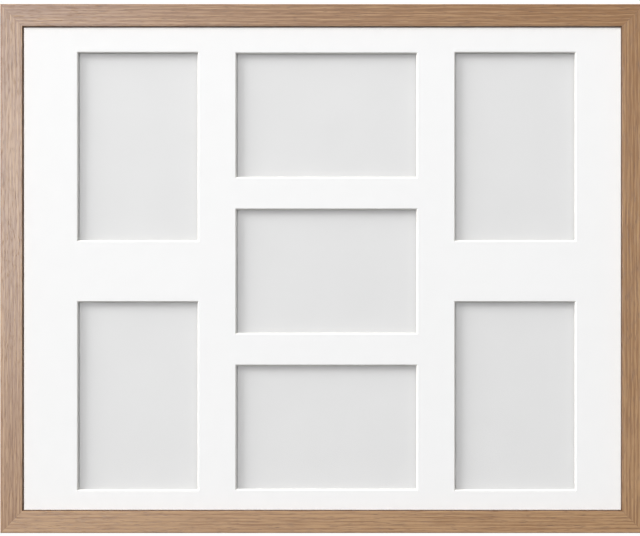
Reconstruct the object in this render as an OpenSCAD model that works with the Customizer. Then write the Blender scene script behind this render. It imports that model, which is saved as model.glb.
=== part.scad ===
// Collage picture frame: an oak moulding round a pane, a mount with seven windows, a board that
// locates seven prints, and a backing that turn buttons keep in. Two ring hangers carry it.
// The origin is the middle of the bottom edge's flat face. X runs to the right, Y runs from the
// front face towards the wall, and Z runs up. All lengths are in millimetres.

/* [Moulding] */
// Width over the outer edges
frame_w = 509; // [480:1:640]
// Height over the outer edges
frame_h = 418; // [400:1:560]
// Depth from the front face to the back face
frame_depth = 15; // [13:0.5:30]
// Width of the flat front face
rail_w = 17.6; // [16:0.2:24]
// Width of the lip in front of the glass
lip_w = 6; // [4:0.5:8]
// Rounding of the two front edges
arris_r = 0.6; // [0.2:0.1:1.2]

/* [Glass and boards] */
// Thickness of the glass
glass_t = 2; // [1.5:0.1:3]
// Thickness of the mount board
mount_t = 1; // [0.8:0.1:2.5]
// Thickness of the board that locates the prints
carrier_t = 2.5; // [1:0.1:4]
// Thickness of the backing board
backing_t = 2.5; // [2:0.1:4]
// Depth of the backing below the moulding's back face
backing_recess = 0.2; // [0.1:0.05:0.5]
// Gap between the boards and the rebate's walls
pack_gap = 1; // [0.5:0.1:1.5]

/* [Prints] */
// Long side of a print
print_long = 152.4; // [148:0.1:156]
// Short side of a print
print_short = 101.6; // [98:0.1:105]
// Thickness of a print
print_t = 0.3; // [0.2:0.05:0.6]
// Gap between a print and the board round it
print_gap = 0.5; // [0.3:0.1:1]

/* [Windows] */
// How far the mount covers the left and right edges of an upright print
portrait_cover_x = 3.3; // [1:0.1:5]
// How far the mount covers the top and bottom edges of an upright print
portrait_cover_z = 1.7; // [1:0.1:5]
// How far the mount covers the left and right edges of a level print
landscape_cover_x = 4.6; // [1:0.1:6]
// How far the mount covers the top and bottom edges of a level print
landscape_cover_z = 1.8; // [1:0.1:5]
// Width of the mount between two columns of windows
column_bar = 30.9; // [24:0.1:34]
// Height of the mount between two upright windows
portrait_bar = 49.2; // [40:0.1:54]
// Height of the mount between two level windows
landscape_bar = 26.1; // [20:0.1:29]
// How far the windows lie to the right of the frame's middle
windows_right = 3.2; // [-6:0.1:6]
// How far the windows lie below the frame's middle
windows_down = 2; // [-3:0.1:3]

/* [Corner nails] */
// Depth that a corner nail is driven to
nail_depth = 7; // [5:0.5:10]
// Thickness of a corner nail's steel
nail_t = 0.6; // [0.4:0.1:0.8]
// How far each leg of a corner nail reaches from the mitre
nail_reach = 3.2; // [2.5:0.1:4]
// Distance from the frame's corner to the outer nail, along the mitre
nail_first = 4.2; // [3.5:0.1:5]
// Distance between the two nails of a corner, along the mitre
nail_pitch = 5.6; // [4.5:0.1:6]

/* [Turn buttons] */
// Thickness of a button's plate
button_t = 0.9; // [0.6:0.1:1.4]
// Radius of the plate round its screw
button_head_r = 4.8; // [4:0.1:5.4]
// Radius of the plate's tip
button_tip_r = 3.2; // [2:0.1:4]
// Distance from the screw to the middle of the tip's round
button_reach = 13; // [11:0.5:18]
// Radial play of the plate on its screw
button_play = 0.08; // [0.02:0.01:0.1]
// Gap between the plate and its screw's head
button_head_gap = 0.05; // [0.02:0.01:0.1]
// Distance from the frame's corner to the outer buttons of a level rail
button_corner_x = 84; // [60:1:110]
// Distance from the frame's corner to the buttons of an upright rail
button_corner_z = 76; // [60:1:90]

/* [Ring hangers] */
// Distance from the frame's top to the ring's hinge
hanger_drop = 132; // [125:1:160]
// Distance from the frame's outer edge to the middle of a hanger
hanger_inset = 7.1; // [7:0.1:7.6]
// Width of the strap
strap_w = 8; // [7:0.1:8.4]
// Thickness of one layer of the folded strap
strap_t = 0.7; // [0.5:0.1:1]
// Length of the strap below the ring's hinge
strap_len = 20; // [19:0.5:26]
// Distance from the ring's hinge to the strap's screw
strap_screw_drop = 15; // [15:0.1:16]
// Length of the strap's slope from its knuckle
strap_slope = 4.4; // [3.6:0.1:6]
// Radius of the ring's wire
wire_r = 0.9; // [0.7:0.05:1]
// Radial play of the wire in the strap's knuckle
wire_play = 0.08; // [0.03:0.01:0.1]
// Clear width inside the ring
ring_gap_w = 9.4; // [9.2:0.1:10]
// Length of the ring's straight sides
ring_side = 2.8; // [2:0.1:3.5]
// Bend radius of the wire's middle at the ring's straight bar
ring_bend_r = 1.25; // [1.1:0.05:1.3]
// How far the ring leans from upright towards the wall
ring_lean = 8; // [0:1:15]

/* [Screws] */
// Radius of a button screw's shank
button_screw_r = 1.5; // [1.2:0.1:1.8]
// Length of a button screw's shank
button_screw_len = 9.5; // [8:0.5:11]
// Radius of a button screw's head
button_screw_head_r = 2.9; // [2.5:0.1:3.4]
// Radius of a hanger screw's shank
hanger_screw_r = 1.6; // [1.3:0.1:1.8]
// Length of a hanger screw's shank
hanger_screw_len = 11; // [9:0.5:12.5]
// Radius of a hanger screw's head
hanger_screw_head_r = 3.1; // [2.7:0.1:3.4]
// Radial gap between a hanger screw and the strap's hole
hanger_hole_gap = 0.3; // [0.1:0.05:0.5]
// Height of a screw head over its radius
head_dome = 0.5; // [0.4:0.05:0.6]
// Width of a cross recess's arms
recess_w = 0.8; // [0.5:0.1:1]
// Depth of a cross recess
recess_depth = 0.8; // [0.5:0.1:1]
// Length of a screw's pointed end
point_len = 2.2; // [1.5:0.1:3]

/* [Hidden] */
$fn = 64;
// Overrun of a cut past the face that it opens
cut = 1;

// Planes across the depth, from the front to the back
front_y = -frame_depth / 2;
back_y = frame_depth / 2;
backing_back_y = back_y - backing_recess;
backing_front_y = backing_back_y - backing_t;
carrier_front_y = backing_front_y - carrier_t;
mount_front_y = carrier_front_y - mount_t;
glass_front_y = mount_front_y - glass_t;

// Moulding and the boards in its rebate
land_w = rail_w - lip_w;
pack_w = frame_w - 2 * land_w - 2 * pack_gap;
pack_h = frame_h - 2 * land_w - 2 * pack_gap;
mid_z = frame_h / 2;

// Windows, as width and height at the back of their bevels
portrait_size = [print_short - 2 * portrait_cover_x, print_long - 2 * portrait_cover_z];
landscape_size = [print_long - 2 * landscape_cover_x, print_short - 2 * landscape_cover_z];
column_pitch = column_bar + (portrait_size[0] + landscape_size[0]) / 2;
portrait_step = (portrait_bar + portrait_size[1]) / 2;
landscape_pitch = landscape_bar + landscape_size[1];

// Each window: its name, the places of its middle along X and Z, and whether its print is upright
WINDOWS = [
    ["top_left", -column_pitch, portrait_step, true],
    ["bottom_left", -column_pitch, -portrait_step, true],
    ["top_middle", 0, landscape_pitch, false],
    ["centre", 0, 0, false],
    ["bottom_middle", 0, -landscape_pitch, false],
    ["top_right", column_pitch, portrait_step, true],
    ["bottom_right", column_pitch, -portrait_step, true]
];

// Each rail: its name, its middle's place along X and Z, its turn about Y, and its length
RAILS = [
    ["bottom", 0, 0, 0, frame_w],
    ["top", 0, frame_h, 180, frame_w],
    ["left", -frame_w / 2, mid_z, 90, frame_h],
    ["right", frame_w / 2, mid_z, -90, frame_h]
];

// Each corner: its side along X, its height, and the turn about Y that points inwards
CORNERS = [
    [-1, 0, -45],
    [1, 0, -135],
    [1, frame_h, 135],
    [-1, frame_h, 45]
];

// Each turn button: its name, its screw's place along X and Z, and its turn about Y
button_inset = land_w / 2;
button_x = frame_w / 2 - button_corner_x;
button_side_x = frame_w / 2 - button_inset;
button_top_z = frame_h - button_inset;
button_high_z = frame_h - button_corner_z;
BUTTONS = [
    ["bottom_left", -button_x, button_inset, 0],
    ["bottom_middle", 0, button_inset, 0],
    ["bottom_right", button_x, button_inset, 0],
    ["top_left", -button_x, button_top_z, 180],
    ["top_middle", 0, button_top_z, 180],
    ["top_right", button_x, button_top_z, 180],
    ["left_low", -button_side_x, button_corner_z, 90],
    ["left_high", -button_side_x, button_high_z, 90],
    ["right_low", button_side_x, button_corner_z, -90],
    ["right_high", button_side_x, button_high_z, -90]
];

// Ring hangers, one on each upright rail
hanger_x = frame_w / 2 - hanger_inset;
hanger_z = frame_h - hanger_drop;
HANGERS = [["left", -hanger_x], ["right", hanger_x]];
bore_r = wire_r + wire_play;
knuckle_r = bore_r + strap_t;
strap_h = 2 * strap_t;
ring_half = ring_gap_w / 2 + wire_r;

// A button's sides touch both of its rounds
button_tilt = asin((button_head_r - button_tip_r) / button_reach);

// The strap's slope touches its knuckle
slope_foot = [-strap_slope, strap_h];
slope_span = norm([strap_slope, knuckle_r - strap_h]);
slope_angle = 180 + asin((knuckle_r - strap_h) / slope_span) - acos(knuckle_r / slope_span);
slope_head = [knuckle_r * cos(slope_angle), knuckle_r + knuckle_r * sin(slope_angle)];

function window_size(w) = w[3] ? portrait_size : landscape_size;
function print_size(w) = w[3] ? [print_short, print_long] : [print_long, print_short];

// Carries a flat outline from X and Y to X and Z, and raises it towards the front
module upright(thickness) {
    rotate([90, 0, 0]) linear_extrude(height = thickness) children();
}

// Carries a flat outline from X and Y to Z and Y, and runs it along X, centred
module along_x(length) {
    rotate([0, -90, 0]) linear_extrude(height = length, center = true) children();
}

// What a rounded edge loses, in the corner where both axes start
module arris_waste() {
    difference() {
        translate([-cut, -cut]) square(arris_r + cut);
        translate([arris_r, arris_r]) circle(arris_r);
    }
}

// The moulding's section: X from the outer edge inwards, Y through the depth
module moulding_section() {
    difference() {
        translate([0, front_y]) square([rail_w, frame_depth]);
        translate([land_w, glass_front_y]) square([lip_w + cut, back_y - glass_front_y + cut]);
        translate([0, front_y]) arris_waste();
        translate([rail_w, front_y]) mirror([1, 0]) arris_waste();
    }
}

// A length of moulding with both ends mitred, its outer edge along X and its face to the front
module mitred_length(length) {
    intersection() {
        along_x(length) moulding_section();
        translate([0, back_y + cut, 0]) upright(frame_depth + 2 * cut) polygon([
            [-length / 2, 0],
            [length / 2, 0],
            [length / 2 - rail_w, rail_w],
            [rail_w - length / 2, rail_w]
        ]);
    }
}

module at_corner(c) {
    translate([c[0] * frame_w / 2, 0, c[1]]) rotate([0, c[2], 0]) children();
}

module at_window(w) {
    translate([windows_right + w[1], 0, mid_z - windows_down + w[2]]) children();
}

module at_button(b) {
    translate([b[1], back_y, b[2]]) rotate([0, b[3], 0]) children();
}

module at_hanger(h) {
    translate([h[1], back_y, hanger_z]) children();
}

// Two steel chevrons across one mitre, flush with the moulding's back
module nail_pair() {
    step = nail_t * sqrt(2);
    for (i = [0:1]) translate([nail_first + i * nail_pitch, back_y, 0]) upright(nail_depth) polygon([
        [0, 0],
        [nail_reach, nail_reach],
        [nail_reach + step, nail_reach],
        [step, 0],
        [nail_reach + step, -nail_reach],
        [nail_reach, -nail_reach]
    ]);
}

// A pointed shank that runs from Y = 0 towards the front
module shank(radius, length) {
    rotate([90, 0, 0]) {
        cylinder(r = radius, h = length - point_len);
        translate([0, 0, length - point_len]) cylinder(r1 = radius, r2 = radius / 8, h = point_len);
    }
}

// A domed head with a cross recess, standing on Y = 0
module screw_head(radius) {
    height = radius * head_dome;
    dome_r = (radius * radius + height * height) / (2 * height);
    difference() {
        intersection() {
            translate([0, height - dome_r, 0]) sphere(dome_r);
            rotate([-90, 0, 0]) cylinder(r = radius, h = height);
        }
        for (turn = [0, 90]) rotate([0, turn, 0])
            translate([-radius * 0.55, height - recess_depth, -recess_w / 2])
                cube([radius * 1.1, recess_depth + cut, recess_w]);
    }
}

module button_shank() {
    shank(button_screw_r, button_screw_len);
}

module hanger_shank() {
    translate([0, 0, -strap_screw_drop]) shank(hanger_screw_r, hanger_screw_len - strap_h);
}

module rail(r) {
    color("burlywood") difference() {
        translate([r[1], 0, r[2]]) rotate([0, r[3], 0]) mitred_length(r[4]);
        for (c = CORNERS) at_corner(c) nail_pair();
        for (b = BUTTONS) if (b[3] == r[3]) at_button(b) button_shank();
        for (h = HANGERS) if (h[0] == r[0]) at_hanger(h) hanger_shank();
    }
}

module corner_nails() {
    color("silver") for (c = CORNERS) at_corner(c) nail_pair();
}

// A sheet that fills the rebate, from one plane of the depth to another
module sheet(near_y, far_y) {
    translate([-pack_w / 2, near_y, mid_z - pack_h / 2]) cube([pack_w, far_y - near_y, pack_h]);
}

module glass() {
    color("azure", 0.3) sheet(glass_front_y, mount_front_y);
}

// Half of a window's taper: it narrows by 1 mm for each 1 mm of depth
module taper(width) {
    near = width / 2 + mount_t + cut;
    far = width / 2 - cut;
    polygon([
        [-near, mount_front_y - cut],
        [near, mount_front_y - cut],
        [far, carrier_front_y + cut],
        [-far, carrier_front_y + cut]
    ]);
}

// A window cut with a bevel of 45 degrees on all four sides
module bevelled_window(size) {
    intersection() {
        linear_extrude(height = 2 * size[1], center = true) taper(size[0]);
        along_x(2 * size[0]) taper(size[1]);
    }
}

module mount_board() {
    color("white") difference() {
        sheet(mount_front_y, carrier_front_y);
        for (w = WINDOWS) at_window(w) bevelled_window(window_size(w));
    }
}

module print_carrier() {
    color("whitesmoke") difference() {
        sheet(carrier_front_y, backing_front_y);
        for (w = WINDOWS) at_window(w) {
            pocket = print_size(w) + [2 * print_gap, 2 * print_gap];
            translate([-pocket[0] / 2, carrier_front_y - cut, -pocket[1] / 2])
                cube([pocket[0], carrier_t + 2 * cut, pocket[1]]);
        }
    }
}

module photo_print(w) {
    size = print_size(w);
    color("lightgray") at_window(w) translate([-size[0] / 2, backing_front_y - print_t, -size[1] / 2])
        cube([size[0], print_t, size[1]]);
}

module backing_board() {
    color("peru") sheet(backing_front_y, backing_back_y);
}

module button_screws() {
    color("silver") for (b = BUTTONS) at_button(b) {
        button_shank();
        translate([0, button_t + button_head_gap, 0]) screw_head(button_screw_head_r);
        rotate([-90, 0, 0]) cylinder(r = button_screw_r, h = button_t + button_head_gap);
    }
}

// A tapered plate with round ends, which swings about its screw
module turn_button(b) {
    side = [cos(button_tilt), sin(button_tilt)];
    tip = [0, button_reach];
    color("silver") at_button(b) translate([0, button_t, 0]) upright(button_t) difference() {
        union() {
            circle(button_head_r);
            translate(tip) circle(button_tip_r);
            polygon([
                button_head_r * side,
                tip + button_tip_r * side,
                tip + [-button_tip_r * side[0], button_tip_r * side[1]],
                [-button_head_r * side[0], button_head_r * side[1]]
            ]);
        }
        circle(button_screw_r + button_play);
    }
}

// The strap from end to knuckle, unbored. In its section X is up the wall and Y is away from it
module strap_blank() {
    along_x(strap_w) translate([-strap_len, 0]) square([strap_len - knuckle_r, strap_h]);
    along_x(strap_w) polygon([[-strap_slope, 0], slope_foot, slope_head, [0, knuckle_r], [0, 0]]);
    along_x(strap_w) translate([0, knuckle_r]) circle(knuckle_r);
}

module hanger_strap(h) {
    tall = 2 * knuckle_r + cut;
    color("silver") at_hanger(h) difference() {
        intersection() {
            union() strap_blank();
            translate([0, tall, 0]) upright(tall + cut) {
                translate([0, strap_w / 2 - strap_len]) circle(strap_w / 2);
                translate([-strap_w / 2, strap_w / 2 - strap_len])
                    square([strap_w, strap_len - strap_w / 2 + knuckle_r + cut]);
            }
        }
        along_x(strap_w + 2 * cut) translate([0, knuckle_r]) circle(bore_r);
        translate([0, -cut, -strap_screw_drop]) rotate([-90, 0, 0])
            cylinder(r = hanger_screw_r + hanger_hole_gap, h = strap_h + 2 * cut);
    }
}

// A bend of the ring's wire, from one angle to another round a point of the ring's plane
module wire_bend(middle, radius, from, sweep) {
    translate([middle[0], 0, middle[1]]) rotate([90, 0, 0]) rotate([0, 0, from])
        rotate_extrude(angle = sweep) translate([radius, 0]) circle(wire_r);
}

// A ring with a straight bar in the knuckle, straight sides and a round top
module hanger_ring(h) {
    bar_half = ring_half - ring_bend_r;
    shoulder_z = ring_bend_r + ring_side;
    color("silver") at_hanger(h) translate([0, knuckle_r, 0]) rotate([-ring_lean, 0, 0]) {
        rotate([0, 90, 0]) cylinder(r = wire_r, h = 2 * bar_half, center = true);
        wire_bend([bar_half, ring_bend_r], ring_bend_r, -90, 90);
        wire_bend([-bar_half, ring_bend_r], ring_bend_r, 180, 90);
        for (side = [-1, 1]) translate([side * ring_half, 0, ring_bend_r])
            cylinder(r = wire_r, h = ring_side);
        wire_bend([0, shoulder_z], ring_half, 0, 180);
    }
}

module hanger_screws() {
    color("silver") for (h = HANGERS) at_hanger(h) {
        hanger_shank();
        translate([0, 0, -strap_screw_drop]) {
            rotate([-90, 0, 0]) cylinder(r = hanger_screw_r, h = strap_h);
            translate([0, strap_h, 0]) screw_head(hanger_screw_head_r);
        }
    }
}

for (r = RAILS) rail(r);
corner_nails();
glass();
mount_board();
print_carrier();
for (w = WINDOWS) photo_print(w);
backing_board();
button_screws();
for (b = BUTTONS) turn_button(b);
for (h = HANGERS) hanger_strap(h);
for (h = HANGERS) hanger_ring(h);
hanger_screws();
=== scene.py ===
"""Looks of a collage picture frame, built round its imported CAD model.

An oak moulding holds glass, a white mount with seven bevelled windows, blank grey prints and a
hardboard back, which turn buttons keep in. Two ring hangers carry it. Lengths are in metres, apart
from names that end in _mm, and X runs to the right, Y towards the wall and Z up.
"""

import logging
import math
from abc import ABC, abstractmethod
from dataclasses import dataclass, field, replace
from enum import Enum, IntEnum

import bmesh
import bpy
import numpy as np
from mathutils import Euler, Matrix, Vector


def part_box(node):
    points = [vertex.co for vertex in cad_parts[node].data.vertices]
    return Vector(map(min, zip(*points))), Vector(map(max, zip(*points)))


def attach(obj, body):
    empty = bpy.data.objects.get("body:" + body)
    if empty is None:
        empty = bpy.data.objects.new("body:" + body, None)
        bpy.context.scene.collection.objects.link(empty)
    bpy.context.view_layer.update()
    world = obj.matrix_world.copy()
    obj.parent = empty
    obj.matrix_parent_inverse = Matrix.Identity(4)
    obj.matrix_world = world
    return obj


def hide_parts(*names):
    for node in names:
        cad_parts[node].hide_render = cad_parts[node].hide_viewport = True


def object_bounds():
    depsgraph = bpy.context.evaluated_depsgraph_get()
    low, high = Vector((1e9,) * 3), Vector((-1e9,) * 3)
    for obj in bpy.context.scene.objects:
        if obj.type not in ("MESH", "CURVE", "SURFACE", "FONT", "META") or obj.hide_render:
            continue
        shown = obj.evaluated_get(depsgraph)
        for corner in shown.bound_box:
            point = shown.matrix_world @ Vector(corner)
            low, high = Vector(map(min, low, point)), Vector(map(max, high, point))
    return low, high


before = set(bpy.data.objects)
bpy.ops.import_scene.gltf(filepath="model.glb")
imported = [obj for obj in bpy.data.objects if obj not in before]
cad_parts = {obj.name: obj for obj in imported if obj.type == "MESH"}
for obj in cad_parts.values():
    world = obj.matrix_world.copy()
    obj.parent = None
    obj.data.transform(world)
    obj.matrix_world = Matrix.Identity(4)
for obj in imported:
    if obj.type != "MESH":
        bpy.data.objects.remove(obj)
cad_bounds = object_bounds()

# Short names for types that many signatures give: a node tree, a socket, and a range or a size
Tree = bpy.types.NodeTree
Socket = bpy.types.NodeSocket
Pair = tuple[float, float]
Triple = tuple[float, float, float]

MM = 0.001
PANE = "glass_pane"
# Points of a new mesh that lie nearer to each other than this are merged
MERGE_MM = 0.001
# An edge of a new mesh that turns by more than this shades sharp
SHARP_DEGREES = 35.0
# The wave texture's distance from one line to the next, at a scale of 1
WAVE_PERIOD = math.pi / 10
log = logging.getLogger("collage_frame")


class MixSocket(IntEnum):
    """Places of the Mix node's sockets when it mixes colours, whose names repeat."""

    SHARE = 0
    COLOUR_A = 6
    COLOUR_B = 7
    COLOUR_OUT = 2


def linear(code: str) -> tuple[float, float, float, float]:
    """Turns an sRGB colour into linear light.

    With s a channel's share of full, its light is s / 12.92 up to a share of 0.04045, and
    ((s + 0.055) / 1.055)^2.4 past it.

    Args:
        code: the colour, as "#rrggbb".

    Returns:
        Linear red, green and blue, and an alpha of 1.
    """
    shares = [int(code[i:i + 2], 16) / 255 for i in (1, 3, 5)]
    light = [s / 12.92 if s <= 0.04045 else ((s + 0.055) / 1.055) ** 2.4 for s in shares]
    return (*light, 1.0)


WHITE = linear("#ffffff")


def add(tree: Tree, kind: str, inputs: dict | None = None, **settings) -> bpy.types.Node:
    """Adds a shader node, sets it up and links it.

    Args:
        tree: the material's or the world's nodes.
        kind: the node's type, without the "ShaderNode" in front.
        inputs: each input's name or place, with its value or the output that feeds it.
        settings: the node's own properties, and "stops" for a ramp's places and hex colours.

    Returns:
        The new node.
    """
    node = tree.nodes.new("ShaderNode" + kind)
    for name, value in settings.items():
        if name == "stops":
            marks = node.color_ramp.elements
            while len(marks) < len(value):
                marks.new(1.0)
            for mark, (place, code) in zip(marks, value):
                mark.position, mark.color = place, linear(code)
        else:
            setattr(node, name, value)
    for key, value in (inputs or {}).items():
        if isinstance(value, Socket):
            tree.links.new(value, node.inputs[key])
        else:
            node.inputs[key].default_value = value
    return node


class Finish(ABC):
    """A surface's material: what it is made of, and how its surface was made."""

    name: str
    relief_strength: float = 0.5

    @abstractmethod
    def shade(self, tree: Tree) -> Socket:
        """Adds the finish's nodes.

        Args:
            tree: the material's empty node tree.

        Returns:
            The output that holds the finished surface.
        """

    def material(self) -> bpy.types.Material:
        """Makes the finish's material.

        Returns:
            A new material that is named for the finish.
        """
        made = bpy.data.materials.new(self.name)
        made.use_nodes = True
        made.node_tree.nodes.clear()
        add(made.node_tree, "OutputMaterial", {"Surface": self.shade(made.node_tree)})
        return made


def in_mm(tree: Tree, turn: float = 0.0, start: Vector | None = None) -> Socket:
    """Gives the place on the piece in millimetres, from a start point and turned about Y.

    Args:
        tree: the material's nodes.
        turn: the turn about Y, in degrees.
        start: the point that becomes the origin, in metres.

    Returns:
        The output with the place.
    """
    rotation = Euler((0.0, math.radians(turn), 0.0))
    origin = -(rotation.to_matrix() @ (start or Vector())) / MM
    return add(tree, "Mapping", {
        "Vector": add(tree, "TexCoord").outputs["Object"],
        "Location": origin,
        "Rotation": rotation,
        "Scale": (1 / MM,) * 3,
    }).outputs["Vector"]


def grain_noise(
    tree: Tree, place: Socket, size_mm: Triple, detail: float = 2.0
) -> bpy.types.Node:
    """Adds noise whose spots have a real size.

    Args:
        tree: the material's nodes.
        place: the place in millimetres.
        size_mm: the spots' size along the place's three axes.
        detail: how many finer octaves it has.

    Returns:
        The noise node, whose values lie round 0.5.
    """
    shrunk = add(tree, "VectorMath", {
        0: place, 1: tuple(1 / s for s in size_mm)}, operation="MULTIPLY")
    return add(tree, "TexNoise", {"Vector": shrunk.outputs[0], "Scale": 1.0, "Detail": detail})


class Side(Enum):
    """The frame's sides.

    Each value is the turn about Y, in degrees, that lays the side's rail along X with its width
    along Z, measured from the rail's outer edge.
    """

    BOTTOM = 0
    TOP = 180
    LEFT = -90
    RIGHT = 90

    @property
    def node(self) -> str:
        """The name of the side's rail."""
        return "rail_" + self.name.lower()

    @property
    def inwards(self) -> Vector:
        """The direction from the side's outer edge to the frame's middle."""
        turn = math.radians(self.value)
        return Vector((-math.sin(turn), 0.0, math.cos(turn)))


@dataclass(frozen=True)
class Oak(Finish):
    """Light oak, planed along the grain and satin lacquered.

    It gives the eye long fine lines of early and late wood that wander a little, pores that read as
    short dark dashes, and a pale haze where a lamp stands near the mirror direction. The lacquer is
    on the face alone: the outer side is oiled, which leaves it duller, the sight edge next to the
    glass is left unlacquered and coloured dark as painted shade, and the back is left bare. Each
    fade gives the distances from an edge at which its look sets in and at which it is full. The
    tones are the figure's values for late, middle and early wood. Real pores, some 0.3 mm wide, are
    drawn a little coarser, so that they show.
    """

    side: Side
    outer_middle: Vector
    half_length_mm: float
    face_mm: float
    depth_mm: float
    name: str = "satin_lacquered_oak"
    late: str = "#845c30"
    middle: str = "#99734a"
    early: str = "#ad875c"
    pore: str = "#5f3f20"
    # Painted shade: the sight edge is coloured dark in place of the shade that falls on it
    painted_sight_shade: str = "#54391f"
    bare: str = "#c4a47a"
    tones: Triple = (0.22, 0.5, 0.78)
    detail: float = 1.0
    board_start_mm: float = 613.0
    board_step_mm: float = 3.7
    board_split: Triple = (1.0, 7.0, 3.0)
    wander_mm: Triple = (70.0, 25.0, 25.0)
    wander_reach_mm: float = 2.2
    line_mm: Pair = (48.0, 2.9)
    line_bend: float = 2.4
    line_bend_scale: float = 2.0
    line_share: float = 0.3
    streak_mm: Triple = (24.0, 0.9, 0.6)
    streak_share: float = 1.35
    tone_mm: Triple = (170.0, 20.0, 9.0)
    tone_share: float = 0.5
    pore_mm: Triple = (8.0, 0.45, 0.45)
    pore_range: Pair = (0.58, 0.72)
    pore_share: float = 0.65
    pore_sink: float = 2.0
    relief_mm: float = 0.06
    outer_fade_mm: Pair = (0.8, 0.2)
    bare_fade_mm: Pair = (0.25, 0.1)
    bare_share: float = 0.65
    sight_fade_mm: Pair = (0.25, 0.05)
    seam_fade_mm: Pair = (0.3, 0.0)
    seam_share: float = 0.45
    face_roughness: float = 0.38
    raw_roughness: float = 0.8
    lacquer_level: float = 0.9
    lacquer: str = "#e2f0ff"
    paleness: dict[Side, float] = field(default_factory=lambda: {
        Side.BOTTOM: 0.12, Side.TOP: -0.13, Side.LEFT: -0.02, Side.RIGHT: -0.065})

    def shade(self, tree: Tree) -> Socket:
        """Mixes lines and pores, then the sight edge's painted shade and the bare and mitred
        places.

        Args:
            tree: the material's empty node tree.

        Returns:
            The output that holds the finished surface.
        """
        place = in_mm(tree, self.side.value, self.outer_middle)
        figure, pores = self.figure(tree, place)
        colour = add(tree, "ValToRGB", {"Fac": figure}, stops=list(zip(
            self.tones, (self.late, self.middle, self.early))))
        axes = add(tree, "SeparateXYZ", {0: place}).outputs
        off_middle = add(tree, "Math", {0: axes["X"]}, operation="ABSOLUTE").outputs[0]
        along_mitre = add(tree, "Math", {0: off_middle, 1: axes["Z"]}, operation="ADD").outputs[0]
        # bare marks the back, sight the sight edge that takes the painted shade, seam the mitres
        bare, sight, seam = (
            add(tree, "MapRange", {
                "Value": value, "From Min": edge - fade[0], "From Max": edge - fade[1],
                "To Max": share}).outputs[0]
            for value, edge, fade, share in (
                (axes["Y"], self.depth_mm / 2, self.bare_fade_mm, self.bare_share),
                (axes["Z"], self.face_mm, self.sight_fade_mm, 1.0),
                (along_mitre, self.half_length_mm, self.seam_fade_mm, self.seam_share)))
        shown = colour.outputs["Color"]
        # Pores, bare back and mitres are the wood's own colours; the sight edge's dark is painted
        # shade
        for share, tint in (
                (pores, self.pore), (bare, self.bare), (sight, self.painted_sight_shade), (seam, self.pore)):
            shown = add(tree, "Mix", {
                MixSocket.SHARE: share, MixSocket.COLOUR_A: shown,
                MixSocket.COLOUR_B: linear(tint)}, data_type="RGBA").outputs[MixSocket.COLOUR_OUT]
        raw = add(tree, "MapRange", {
            "Value": axes["Z"], "From Min": self.outer_fade_mm[0],
            "From Max": self.outer_fade_mm[1]}).outputs[0]
        for unlacquered in (bare, sight):
            raw = add(tree, "Math", {0: raw, 1: unlacquered}, operation="MAXIMUM").outputs[0]
        dull = add(tree, "MapRange", {
            "Value": raw, "To Min": self.face_roughness, "To Max": self.raw_roughness})
        height = add(tree, "Math", {
            0: pores, 1: -self.pore_sink, 2: figure}, operation="MULTIPLY_ADD")
        relief = add(tree, "Bump", {
            "Height": height.outputs[0], "Distance": self.relief_mm * MM,
            "Strength": self.relief_strength})
        return add(tree, "BsdfPrincipled", {
            "Base Color": shown, "Roughness": dull.outputs[0], "Normal": relief.outputs[0],
            "Specular IOR Level": self.lacquer_level, "Specular Tint": linear(self.lacquer),
        }).outputs[0]

    def figure(self, tree: Tree, place: Socket) -> tuple[Socket, Socket]:
        """Makes the wood's lines and pores.

        Each rail is cut from its own stretch of the board, in which the fibres wander. The figure
        is 0.5 and the side's paleness, and the lines, the streaks and the broad tone each take it
        up or down by up to half their share.

        Args:
            tree: the material's nodes.
            place: the place along the rail, through its depth and across its face, in millimetres.

        Returns:
            The figure, from 0 in late wood to 1 in early wood, and the pores' share.
        """
        start = self.board_start_mm + self.board_step_mm * self.side.value
        cut = tuple(start / part for part in self.board_split)
        board = add(tree, "VectorMath", {0: place, 1: cut}, operation="ADD").outputs[0]
        wander = grain_noise(tree, board, self.wander_mm, self.detail).outputs["Color"]
        reach = self.wander_reach_mm
        fibres = add(tree, "VectorMath", {
            0: wander, 1: (0.0, reach, reach), 2: board}, operation="MULTIPLY_ADD").outputs[0]
        length, width = self.line_mm
        drawn = add(tree, "VectorMath", {
            0: fibres, 1: (width / length, 1.0, 1.0)}, operation="MULTIPLY").outputs[0]
        lines = add(tree, "TexWave", {
            "Vector": drawn, "Scale": WAVE_PERIOD / width, "Distortion": self.line_bend,
            "Detail": self.detail, "Detail Scale": self.line_bend_scale,
        }, bands_direction="Z").outputs["Fac"]
        streak = grain_noise(tree, fibres, self.streak_mm, self.detail).outputs[0]
        tone = grain_noise(tree, board, self.tone_mm, self.detail).outputs[0]
        figure = add(tree, "Math", {
            0: lines, 1: self.line_share,
            2: 0.5 - self.line_share / 2 + self.paleness[self.side],
        }, operation="MULTIPLY_ADD").outputs[0]
        for layer, share in ((streak, self.streak_share), (tone, self.tone_share)):
            base = add(tree, "Math", {0: figure, 1: -0.5 * share}, operation="ADD").outputs[0]
            figure = add(tree, "Math", {
                0: layer, 1: share, 2: base}, operation="MULTIPLY_ADD").outputs[0]
        spots = grain_noise(tree, fibres, self.pore_mm, self.detail).outputs[0]
        pores = add(tree, "MapRange", {
            "Value": spots, "From Min": self.pore_range[0], "From Max": self.pore_range[1],
            "To Max": self.pore_share}).outputs[0]
        return figure, pores


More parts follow.
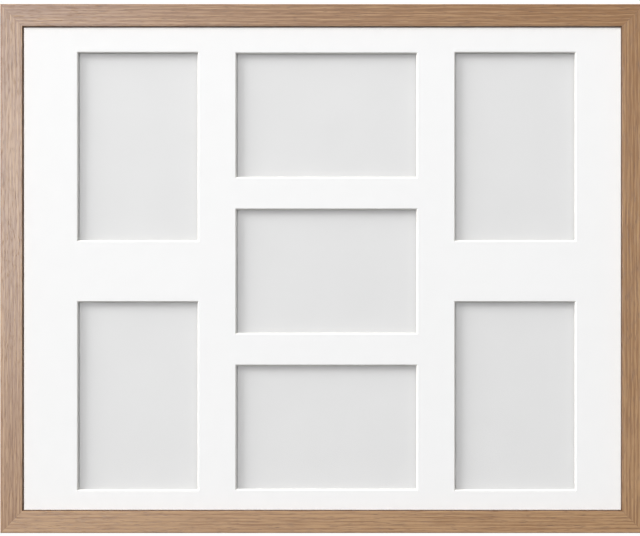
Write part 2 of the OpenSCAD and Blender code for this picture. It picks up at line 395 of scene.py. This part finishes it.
@dataclass(frozen=True)
class Card(Finish):
    """Pressed paper board or photo paper.

    It gives the eye a quiet matt sheet with a fine tooth and a faint cloudiness. Where it has a
    core, the bevel of each window shows it, as a different white from the facing paper's. A real
    sheet's tooth, about 0.1 mm across, is too fine to show and is drawn coarser.
    """

    name: str
    colour: str
    cloud: str
    roughness: float
    tooth_mm: float = 0.35
    cloud_mm: float = 9.0
    cloud_detail: float = 3.0
    cloud_range: Pair = (0.3, 0.7)
    relief_mm: float = 0.01
    relief_strength: float = 0.4
    core: str | None = None
    core_from_mm: float = 0.0
    core_fade_mm: float = 0.05
    sheen: float = 0.2

    def shade(self, tree: Tree) -> Socket:
        """Mixes the sheet's clouds and its core, and raises its tooth.

        Args:
            tree: the material's empty node tree.

        Returns:
            The output that holds the finished surface.
        """
        place = in_mm(tree)
        clouds = grain_noise(tree, place, (self.cloud_mm,) * 3, self.cloud_detail).outputs[0]
        tooth = grain_noise(tree, place, (self.tooth_mm,) * 3).outputs[0]
        colour = add(tree, "ValToRGB", {"Fac": clouds}, stops=list(zip(
            self.cloud_range, (self.cloud, self.colour))))
        shown = colour.outputs["Color"]
        if self.core:
            depth = add(tree, "SeparateXYZ", {0: place}).outputs["Y"]
            inside = add(tree, "MapRange", {
                "Value": depth, "From Min": self.core_from_mm,
                "From Max": self.core_from_mm + self.core_fade_mm})
            shown = add(tree, "Mix", {
                MixSocket.SHARE: inside.outputs[0], MixSocket.COLOUR_A: shown,
                MixSocket.COLOUR_B: linear(self.core),
            }, data_type="RGBA").outputs[MixSocket.COLOUR_OUT]
        relief = add(tree, "Bump", {
            "Height": tooth, "Distance": self.relief_mm * MM, "Strength": self.relief_strength})
        return add(tree, "BsdfPrincipled", {
            "Base Color": shown, "Roughness": self.roughness, "Normal": relief.outputs[0],
            "Specular IOR Level": self.sheen,
        }).outputs[0]


@dataclass(frozen=True)
class Hardboard(Finish):
    """Hardboard, hot pressed from wood fibre with its smooth side out.

    It gives the eye a mid brown sheet with darker and paler matted fibres and a slight sheen.
    """

    name: str = "pressed_hardboard"
    dark: str = "#775538"
    middle: str = "#94704c"
    pale: str = "#ad8c66"
    tones: Triple = (0.38, 0.5, 0.62)
    fleck_mm: Triple = (2.2, 2.2, 0.5)
    fleck_turns: Triple = (25.0, -50.0, 80.0)
    clot_mm: float = 45.0
    clot_share: float = 0.12
    relief_mm: float = 0.05
    roughness: float = 0.5

    def shade(self, tree: Tree) -> Socket:
        """Mats layers of fibres that lie across each other over broad darker clots.

        Args:
            tree: the material's empty node tree.

        Returns:
            The output that holds the finished surface.
        """
        clots = grain_noise(tree, in_mm(tree), (self.clot_mm,) * 3).outputs[0]
        matted = add(tree, "Math", {0: clots, 1: self.clot_share}, operation="MULTIPLY").outputs[0]
        share = (1 - self.clot_share) / len(self.fleck_turns)
        for turn in self.fleck_turns:
            layer = grain_noise(tree, in_mm(tree, turn), self.fleck_mm).outputs[0]
            matted = add(tree, "Math", {
                0: layer, 1: share, 2: matted}, operation="MULTIPLY_ADD").outputs[0]
        colour = add(tree, "ValToRGB", {"Fac": matted}, stops=list(zip(
            self.tones, (self.dark, self.middle, self.pale))))
        relief = add(tree, "Bump", {
            "Height": matted, "Distance": self.relief_mm * MM, "Strength": self.relief_strength})
        return add(tree, "BsdfPrincipled", {
            "Base Color": colour.outputs["Color"], "Roughness": self.roughness,
            "Normal": relief.outputs[0],
        }).outputs[0]


@dataclass(frozen=True)
class PlatedSteel(Finish):
    """Stamped or drawn steel, bare or plated.

    It gives the eye a pale grey metal with soft reflections, a little blotchy and finely scuffed.
    Real scuffs are finer still, and are drawn as coarse as they need to be to show close by.
    """

    name: str
    colour: str
    blotch: str
    roughness: float
    blotch_mm: float = 2.5
    blotch_range: Pair = (0.35, 0.65)
    scuff_mm: Triple = (0.15, 0.15, 1.8)
    scuff_turn: float = 35.0
    scuff_range: Pair = (0.3, 0.7)
    polished_by: float = 0.06
    dulled_by: float = 0.08
    relief_mm: float = 0.004

    def shade(self, tree: Tree) -> Socket:
        """Blotches the plating and lays scuffs over it.

        Args:
            tree: the material's empty node tree.

        Returns:
            The output that holds the finished surface.
        """
        blotches = grain_noise(tree, in_mm(tree), (self.blotch_mm,) * 3).outputs[0]
        scuffs = grain_noise(tree, in_mm(tree, self.scuff_turn), self.scuff_mm).outputs[0]
        colour = add(tree, "ValToRGB", {"Fac": blotches}, stops=list(zip(
            self.blotch_range, (self.blotch, self.colour))))
        dull = add(tree, "MapRange", {
            "Value": scuffs, "From Min": self.scuff_range[0], "From Max": self.scuff_range[1],
            "To Min": self.roughness - self.polished_by,
            "To Max": self.roughness + self.dulled_by})
        relief = add(tree, "Bump", {
            "Height": scuffs, "Distance": self.relief_mm * MM, "Strength": self.relief_strength})
        return add(tree, "BsdfPrincipled", {
            "Base Color": colour.outputs["Color"], "Metallic": 1.0, "Roughness": dull.outputs[0],
            "Normal": relief.outputs[0],
        }).outputs[0]


SCREW_STEEL = PlatedSteel("zinc_plated_screw", "#cfd1d4", "#b4b7bb", roughness=0.25)


@dataclass(frozen=True)
class FloatGlass(Finish):
    """Float glass, coated against reflections.

    It gives the eye a clear front that hardly veils what lies behind it. The coating is why its
    IOR is lower than plain glass's, which is 1.5.
    """

    name: str = "coated_float_glass"
    tint: str = "#fefefe"
    ior: float = 1.25

    def shade(self, tree: Tree) -> Socket:
        """Lets light on its way to matt surfaces straight through, and refracts what is seen.

        Args:
            tree: the material's empty node tree.

        Returns:
            The output that holds the finished surface.
        """
        surface = add(tree, "BsdfGlass", {
            "Color": linear(self.tint), "Roughness": 0.0, "IOR": self.ior}).outputs[0]
        clear = add(tree, "BsdfTransparent", {"Color": linear(self.tint)}).outputs[0]
        rays = add(tree, "LightPath").outputs
        for kind in ("Is Shadow Ray", "Is Diffuse Ray"):
            surface = add(tree, "MixShader", {0: rays[kind], 1: surface, 2: clear}).outputs[0]
        return surface


def seen_rays(tree: Tree) -> Socket:
    """Tells rays from the camera, off a gloss or through glass from the rest.

    Args:
        tree: the world's or the material's nodes.

    Returns:
        The output that is 1 for such a ray and 0 for another.
    """
    rays = add(tree, "LightPath").outputs
    seen = rays["Is Camera Ray"]
    for kind in ("Is Glossy Ray", "Is Transmission Ray"):
        seen = add(tree, "Math", {0: seen, 1: rays[kind]}, operation="MAXIMUM").outputs[0]
    return seen


@dataclass(frozen=True)
class PaleFloor(Finish):
    """Matt white painted board.

    It gives the eye a plain ground that is nearly white, on which the frame's faint shadow stays:
    where it is seen, it is mixed with plain white by its lift.
    """

    name: str = "white_painted_board"
    colour: str = "#f4f4f4"
    lift: float = 0.87

    def shade(self, tree: Tree) -> Socket:
        """Mixes plain white with the lit board.

        Args:
            tree: the material's empty node tree.

        Returns:
            The output that holds the finished surface.
        """
        board = add(tree, "BsdfDiffuse", {"Color": linear(self.colour)})
        white = add(tree, "Emission", {"Color": WHITE, "Strength": 1.0})
        share = add(tree, "Math", {0: seen_rays(tree), 1: self.lift}, operation="MULTIPLY")
        return add(tree, "MixShader", {
            0: share.outputs[0], 1: board.outputs[0], 2: white.outputs[0]}).outputs[0]


def grid_faces(rows: int, columns: int) -> np.ndarray:
    """Joins a grid's points into faces, with its columns closed into a ring.

    Args:
        rows: how many rows of points the grid has.
        columns: how many points lie in a row.

    Returns:
        The four corners of each face, as places in the flattened grid.
    """
    row, column = np.meshgrid(np.arange(rows - 1), np.arange(columns), indexing="ij")
    after = (column + 1) % columns
    here, below = row * columns, (row + 1) * columns
    ring = (here + column, here + after, below + after, below + column)
    return np.stack(ring, -1).reshape(-1, 4)


def new_piece(
    name: str, points: np.ndarray, faces: np.ndarray, finish: Finish, body: str, slot: str
) -> bpy.types.Object:
    """Puts a grid of points into a new object that rides on a body.

    Args:
        name: the piece's name.
        points: its points, in a grid of any shape with X, Y and Z last.
        faces: the corners of its faces.
        finish: what it is made of.
        body: the CAD body that it moves with.
        slot: a material slot's name, which is not used.

    Returns:
        The new object.
    """
    mesh = bpy.data.meshes.new(name)
    mesh.from_pydata(points.reshape(-1, 3).tolist(), [], faces.tolist())
    shell = bmesh.new()
    shell.from_mesh(mesh)
    bmesh.ops.remove_doubles(shell, verts=shell.verts, dist=MERGE_MM * MM)
    bmesh.ops.recalc_face_normals(shell, faces=shell.faces)
    shell.to_mesh(mesh)
    shell.free()
    mesh.polygons.foreach_set("use_smooth", np.ones(len(mesh.polygons), bool))
    mesh.set_sharp_from_angle(angle=math.radians(SHARP_DEGREES))
    mesh.materials.append(finish.material())
    piece = bpy.data.objects.new(name, mesh)
    bpy.context.scene.collection.objects.link(piece)
    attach(piece, body)
    log.info("built %s in %s, riding on %s", name, finish.name, body)
    return piece


def dress(name: str, finish: Finish) -> None:
    """Gives a CAD node its finish.

    Args:
        name: the node's name.
        finish: what it is made of.
    """
    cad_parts[name].material_slots[0].material = finish.material()
    log.info("dressed %s in %s", name, finish.name)


@dataclass
class Moulding:
    """The four mitred oak rails, and the steel nails that hold their corners."""

    nails: PlatedSteel = PlatedSteel("rolled_nail_steel", "#9c9ca0", "#7d7c7e", roughness=0.38)

    def build(self) -> None:
        """Dresses each rail in oak of its own, and the nails in steel."""
        for side in Side:
            low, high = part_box(side.node)
            size, middle = high - low, (low + high) / 2
            across, along = sorted((size.x, size.z))
            dress(side.node, Oak(
                side, outer_middle=middle - side.inwards * across / 2,
                half_length_mm=along / 2 / MM, face_mm=across / MM, depth_mm=size.y / MM))
        dress("corner_nails", self.nails)


@dataclass
class Glazing:
    """The pane in front of the mount, with ground edges, a hair clear of what it touches."""

    glass: FloatGlass = FloatGlass()
    clearance_mm: float = 0.03
    edge_mm: float = 0.4

    def build(self) -> None:
        """Builds the pane in the place of its CAD node."""
        surface = self.surface(*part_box("glass"))
        pane = new_piece(PANE, *surface, self.glass, body="frame", slot="glass")
        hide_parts("glass")

    def surface(self, low: Vector, high: Vector) -> tuple[np.ndarray, np.ndarray]:
        """Works out the pane as rectangles through its depth.

        A rectangle is full size but at the two faces, where it is smaller by the ground edge, and
        the first and last shrink to the middle of their face, which closes it.

        Args:
            low: the CAD pane's lowest corner.
            high: its highest corner.

        Returns:
            The grid of points, one row for each rectangle, and its faces.
        """
        edge, gap = self.edge_mm * MM, self.clearance_mm * MM
        near, far = low.y + gap, high.y - gap
        depth = np.array([near, near, near + edge, far - edge, far, far])
        inset = np.array([np.inf, edge, 0.0, 0.0, edge, np.inf])
        middle = np.array([(low.x + high.x) / 2, (low.z + high.z) / 2])
        half = np.array([(high.x - low.x) / 2, (high.z - low.z) / 2])
        corners = np.array([(-1, -1), (1, -1), (1, 1), (-1, 1)])
        reach = np.maximum(half - inset[:, None], 0.0)
        flat = middle + corners[None] * reach[:, None]
        depths = np.broadcast_to(depth[:, None], flat.shape[:2])
        points = np.stack([flat[..., 0], depths, flat[..., 1]], -1)
        return points, grid_faces(*points.shape[:2])


@dataclass
class Picture:
    """What lies behind the glass: the mount with its windows, its carrier and the prints."""

    mount: Card = Card("white_mount_board", "#f7f7f7", "#f5f5f5", roughness=0.85, core="#f3f1ed")
    facing_mm: float = 0.15
    carrier: Card = Card(
        "grey_locating_card", "#c9c6be", "#b9b5ac", roughness=0.9, cloud_mm=5.0)
    paper: Card = Card(
        "satin_photo_paper", "#e2e2e2", "#e0e0e0", roughness=0.5, tooth_mm=0.5, cloud_mm=40.0)
    prints: tuple[str, ...] = (
        "top_left", "bottom_left", "top_middle", "centre", "bottom_middle", "top_right",
        "bottom_right")

    def build(self) -> None:
        """Dresses the mount, whose core lies behind its facing, the carrier and each print."""
        front_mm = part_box("mount_board")[0].y / MM
        dress("mount_board", replace(self.mount, core_from_mm=front_mm + self.facing_mm))
        dress("print_carrier", self.carrier)
        for name in self.prints:
            dress("print_" + name, self.paper)


@dataclass(frozen=True)
class TurnButton:
    """A stamped steel plate, round about its screw and at its tip, with tumbled, rounded edges.

    Its radii at the tip and at the hole are the CAD model's. The bearings at which its outline is
    worked out crowd towards the tip, where the outline bends most.
    """

    place: str
    side: Side
    steel: PlatedSteel = PlatedSteel("zinc_plated_strip", "#c3c6cb", "#b4b8be", roughness=0.3)
    tip_mm: float = 3.2
    hole_mm: float = 1.58
    edge_mm: float = 0.22
    bearings: int = 144
    crowding: float = 1.5
    corner_steps: int = 5

    def build(self) -> None:
        """Builds the plate in the place of its CAD node, on the node's own body."""
        node = "turn_button_" + self.place
        surface = self.surface(*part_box(node))
        plate = new_piece(
            "plate_" + self.place, *surface, self.steel, body=node, slot="zinc_steel")
        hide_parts(node)

    def rim(self, bearing: np.ndarray, head: float, tip: float, reach: float) -> np.ndarray:
        """Works out how far the plate's outline lies from the screw.

        With b the bearing, R and r the two radii, d the distance between their centres and
        a = acos((R - r) / d), the head is R, the flank R / cos(b - a) and the tip
        d cos b + sqrt(r^2 - (d sin b)^2).

        Args:
            bearing: the bearings off the line from the screw to the tip, in radians.
            head: the plate's radius about the screw.
            tip: its radius at the tip.
            reach: the distance from the screw to the tip's centre.

        Returns:
            The distance for each bearing.
        """
        away = np.abs(bearing)
        tangent = math.acos((head - tip) / reach)
        tip_ends = math.atan2(tip * math.sin(tangent), reach + tip * math.cos(tangent))
        flank = head / np.cos(np.minimum(away, tangent) - tangent)
        half_chord = np.sqrt(np.maximum(tip ** 2 - (reach * np.sin(away)) ** 2, 0.0))
        round_tip = reach * np.cos(away) + half_chord
        return np.select([away >= tangent, away > tip_ends], [head, flank], round_tip)

    def surface(self, low: Vector, high: Vector) -> tuple[np.ndarray, np.ndarray]:
        """Carries the plate's cross-section round its hole.

        The cross-section is a closed loop with four round corners, two along the rim and two along
        the hole: corner centre + edge (cos t, sin t), a quarter turn each.

        Args:
            low: the CAD plate's lowest corner.
            high: its highest corner.

        Returns:
            The grid of points, one row for each point of the cross-section, and its faces.
        """
        tip, hole, edge = self.tip_mm * MM, self.hole_mm * MM, self.edge_mm * MM
        inwards = self.side.inwards
        along = inwards.cross(Vector((0.0, 1.0, 0.0)))
        size, middle = high - low, (low + high) / 2
        length, width = abs(size.dot(inwards)), abs(size.dot(along))
        head, half_depth = width / 2, size.y / 2
        screw = middle - inwards * (length / 2 - head)
        spread = np.linspace(-1.0, 1.0, self.bearings, endpoint=False)
        bearing = math.pi * np.sign(spread) * np.abs(spread) ** self.crowding
        rim = self.rim(bearing, head, tip, length - head - tip)
        quarter = 90.0
        corners = (
            (rim - edge, 1, quarter), (rim - edge, -1, 0.0),
            (hole + edge, -1, -quarter), (hole + edge, 1, -2 * quarter))
        rows = []
        for centre, face, start in corners:
            for turn in np.radians(np.linspace(start, start - quarter, self.corner_steps)):
                out = centre + edge * math.cos(turn)
                depth = face * (half_depth - edge) + edge * math.sin(turn)
                ahead = np.outer(out * np.cos(bearing), inwards)
                aside = np.outer(out * np.sin(bearing), along)
                rows.append(np.array(screw) + (ahead + aside) + np.array((0.0, depth, 0.0)))
        points = np.stack(rows + rows[:1])
        return points, grid_faces(*points.shape[:2])


@dataclass
class Back:
    """The hardboard back, and the turn buttons on their screws that keep it in."""

    board: Hardboard = Hardboard()
    screws: PlatedSteel = SCREW_STEEL
    buttons: tuple[TurnButton, ...] = (
        *(TurnButton("bottom_" + place, Side.BOTTOM) for place in ("left", "middle", "right")),
        *(TurnButton("top_" + place, Side.TOP) for place in ("left", "middle", "right")),
        *(TurnButton("left_" + place, Side.LEFT) for place in ("low", "high")),
        *(TurnButton("right_" + place, Side.RIGHT) for place in ("low", "high")),
    )

    def build(self) -> None:
        """Dresses the board and the buttons' screws, and builds each button."""
        dress("backing_board", self.board)
        for button in self.buttons:
            button.build()
        dress("button_screws", self.screws)


@dataclass
class Hangers:
    """The two straps with their rings and screws."""

    strap: PlatedSteel = PlatedSteel("zinc_plated_strap", "#bfc2c7", "#b0b4ba", roughness=0.3)
    ring: PlatedSteel = PlatedSteel("nickel_plated_wire", "#cbc9c4", "#b9b6b0", roughness=0.2)
    screws: PlatedSteel = SCREW_STEEL

    def build(self) -> None:
        """Dresses the straps, the rings and the screws."""
        for hand in ("left", "right"):
            dress("hanger_strap_" + hand, self.strap)
            dress("hanger_ring_" + hand, self.ring)
        dress("hanger_screws", self.screws)


@dataclass(frozen=True)
class Lamp:
    """A softbox that looks at the frame's middle.

    Its azimuth and height are angles in degrees, seen from there. Its level is how brightly it
    lights a white sheet that faces it there: an area lamp of E watts at a distance d gives
    E / (pi d)^2. A lamp that isn't mirrored lights gloss without showing in it, and no lamp shows
    in the pane. The rails of the sides that it passes cast no shadow in its light.
    """

    name: str
    azimuth: float
    height: float
    distance: float
    size: float
    level: float
    mirrored: bool = True
    passes: tuple[Side, ...] = ()

    def build(self, middle: Vector) -> None:
        """Hangs the lamp and turns it to the frame.

        Args:
            middle: the frame's middle.
        """
        turn, rise = math.radians(self.azimuth), math.radians(self.height)
        towards = Vector((
            math.sin(turn) * math.cos(rise), -math.cos(turn) * math.cos(rise), math.sin(rise)))
        light = bpy.data.lights.new(self.name, "AREA")
        light.size = self.size
        light.energy = self.level * math.pi ** 2 * self.distance ** 2
        lamp = bpy.data.objects.new(self.name, light)
        lamp.location = middle + towards * self.distance
        lamp.rotation_euler = (-towards).to_track_quat("-Z", "Y").to_euler()
        lamp.visible_camera = False
        lamp.visible_glossy = self.mirrored
        bpy.context.scene.collection.objects.link(lamp)
        pane = [bpy.data.objects[PANE]]
        lamp.light_linking.receiver_collection = self.left_out("unmirrored", pane)
        if self.passes:
            rails = [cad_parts[side.node] for side in self.passes]
            lamp.light_linking.blocker_collection = self.left_out("passes", rails)

    def left_out(self, purpose: str, pieces: list[bpy.types.Object]) -> bpy.types.Collection:
        """Gathers the pieces that the lamp's light leaves out in some way.

        Args:
            purpose: how they are left out, which ends the collection's name.
            pieces: the pieces.

        Returns:
            The collection, with each piece marked as left out.
        """
        group = bpy.data.collections.new(f"{self.name}_{purpose}")
        for piece in pieces:
            group.objects.link(piece)
        for member in group.collection_objects:
            member.light_linking.link_state = "EXCLUDE"
        return group


@dataclass
class Studio:
    """The plain pale floor, the soft lamps and the camera.

    The camera looks square at the frame from a little right of and below the picture's middle,
    through a shifted lens. So it sees more of the left and top sight edges than of the others.
    """

    picture_width: int = 640
    pixel: float = 0.00079
    sensor_mm: float = 36.0
    camera_at: Vector = field(default_factory=lambda: Vector((0.0282, -1.3075, 0.18145)))
    picture_middle: Vector = field(default_factory=lambda: Vector((-0.0018, 0.0, 0.20945)))
    ambient: float = 0.1
    floor_half: float = 4.0
    lamps: tuple[Lamp, ...] = (
        Lamp("front_left_softbox", azimuth=-19.9, height=6.0, distance=6.0, size=1.05,
             level=0.39, passes=(Side.LEFT,)),
        Lamp("low_left_window", azimuth=-75.0, height=20.0, distance=12.0, size=4.8,
             level=0.92, mirrored=False, passes=(Side.LEFT, Side.TOP)),
        Lamp("high_left_window", azimuth=-65.0, height=50.0, distance=6.0, size=2.4,
             level=0.72, mirrored=False, passes=(Side.LEFT, Side.TOP)),
        Lamp("high_right_window", azimuth=35.0, height=50.0, distance=5.0, size=2.0,
             level=0.37, mirrored=False, passes=(Side.RIGHT, Side.TOP)),
        Lamp("rear_softbox", azimuth=145.0, height=18.0, distance=3.0, size=1.2, level=1.05),
    )

    def build(self) -> None:
        """Lays the floor, hangs the lamps and sets the camera."""
        low, high = cad_bounds
        middle = (low + high) / 2
        bpy.context.scene.view_settings.view_transform = "Standard"
        self.lay_floor()
        self.light_world()
        for lamp in self.lamps:
            lamp.build(middle)
        self.set_camera(low.y)

    def lay_floor(self) -> None:
        """Lays a square floor under the frame's bottom edge, which lights nothing itself."""
        half = self.floor_half
        mesh = bpy.data.meshes.new("floor")
        corners = np.array([(-half, -half), (half, -half), (half, half), (-half, half)])
        mesh.from_pydata(np.c_[corners, np.zeros(4)].tolist(), [], [(0, 1, 2, 3)])
        floor = bpy.data.objects.new("floor", mesh)
        bpy.context.scene.collection.objects.link(floor)
        floor.visible_diffuse = False
        floor.visible_glossy = False
        mesh.materials.append(PaleFloor().material())

    def light_world(self) -> None:
        """Shows white to the camera and in reflections, and lights the rest dimly and evenly."""
        world = bpy.data.worlds.new("studio")
        bpy.context.scene.world = world
        world.use_nodes = True
        tree = world.node_tree
        tree.nodes.clear()
        level = add(tree, "MapRange", {
            "Value": seen_rays(tree), "To Min": self.ambient, "To Max": 1.0})
        walls = add(tree, "Background", {"Color": WHITE, "Strength": level.outputs[0]})
        add(tree, "OutputWorld", {"Surface": walls.outputs[0]})

    def set_camera(self, front: float) -> None:
        """Stands the camera level in its place, square to the frame.

        The lens is as long, for its sensor, as the camera is far from the front face for the width
        that the picture shows there. Its shift, a share of that width, puts the picture's middle
        back in the middle.

        Args:
            front: the front face's place along Y.
        """
        data = bpy.data.cameras.new("camera")
        data.sensor_width = self.sensor_mm
        shown = self.picture_width * self.pixel
        data.lens = self.sensor_mm * (front - self.camera_at.y) / shown
        data.shift_x = (self.picture_middle.x - self.camera_at.x) / shown
        data.shift_y = (self.picture_middle.z - self.camera_at.z) / shown
        camera = bpy.data.objects.new("camera", data)
        camera.location = self.camera_at
        camera.rotation_euler = (math.pi / 2, 0.0, 0.0)
        bpy.context.scene.collection.objects.link(camera)
        bpy.context.scene.camera = camera


def main() -> None:
    """Builds the frame's sub-assemblies in order, then the studio round them."""
    logging.basicConfig(level=logging.INFO, format="%(name)s: %(message)s")
    for part in (Moulding(), Glazing(), Picture(), Back(), Hangers(), Studio()):
        part.build()
        log.info("built %s", type(part).__name__)


if __name__ == "__main__":
    main()
